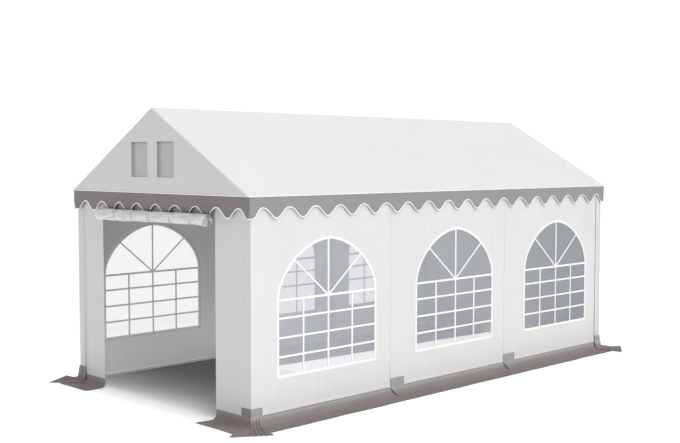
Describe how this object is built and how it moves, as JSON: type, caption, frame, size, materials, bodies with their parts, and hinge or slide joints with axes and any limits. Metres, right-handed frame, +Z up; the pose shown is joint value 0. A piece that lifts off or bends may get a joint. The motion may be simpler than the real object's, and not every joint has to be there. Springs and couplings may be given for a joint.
{
  "type": "marquee tent",
  "caption": "Ridged fabric marquee on a steel tube frame, with arched window walls, a scalloped valance, an open front doorway and a ground skirt.",
  "frame": {"origin": "centre of the plan on the ground, under the middle of the ridge", "axes": "+Z up, +Y along the ridge from the open front end to the closed rear end, +X to the right seen from the front"},
  "size_m": [3.67, 6.67, 3.0259],
  "materials": {
    "steel": "galvanised tube",
    "roof_fabric": "white coated fabric, slight sheen",
    "wall_fabric": "white coated fabric, slight sheen",
    "grey_fabric": "grey coated fabric",
    "vent_mesh": "fine insect mesh",
    "clear_film": "clear flexible film"
  },
  "bodies": {
    "root": {"post_left_1": "steel", "post_left_2": "steel", "post_left_3": "steel", "post_left_4": "steel", "post_right_1": "steel", "post_right_2": "steel", "post_right_3": "steel", "post_right_4": "steel", "eave_beam_left": "steel", "eave_beam_right": "steel", "roof_truss_1": "steel", "roof_truss_2": "steel", "roof_truss_3": "steel", "roof_truss_4": "steel", "ridge_beam": "steel", "tie_beam_front": "steel", "tie_beam_rear": "steel", "roof_left": "roof_fabric", "roof_right": "roof_fabric", "gable_front": "roof_fabric", "gable_rear": "roof_fabric", "vent_screen_front": "vent_mesh", "vent_screen_rear": "vent_mesh", "valance_front": "grey_fabric", "valance_rear": "grey_fabric", "valance_left": "grey_fabric", "valance_right": "grey_fabric", "left_wall_panel_1": "wall_fabric", "left_wall_panel_2": "wall_fabric", "left_wall_panel_3": "wall_fabric", "right_wall_panel_1": "wall_fabric", "right_wall_panel_2": "wall_fabric", "right_wall_panel_3": "wall_fabric", "left_window_pane_1": "clear_film", "left_window_pane_2": "clear_film", "left_window_pane_3": "clear_film", "right_window_pane_1": "clear_film", "right_window_pane_2": "clear_film", "right_window_pane_3": "clear_film", "front_wall_left": "wall_fabric", "front_wall_right": "wall_fabric", "front_header": "wall_fabric", "rear_wall": "wall_fabric", "door_roll": "wall_fabric", "skirt_left": "grey_fabric", "skirt_right": "grey_fabric", "skirt_rear": "grey_fabric", "skirt_front_left": "grey_fabric", "skirt_front_right": "grey_fabric", "corner_flap_front_left": "grey_fabric", "corner_flap_front_right": "grey_fabric", "corner_flap_rear_left": "grey_fabric", "corner_flap_rear_right": "grey_fabric"}
  },
  "joints": []
}
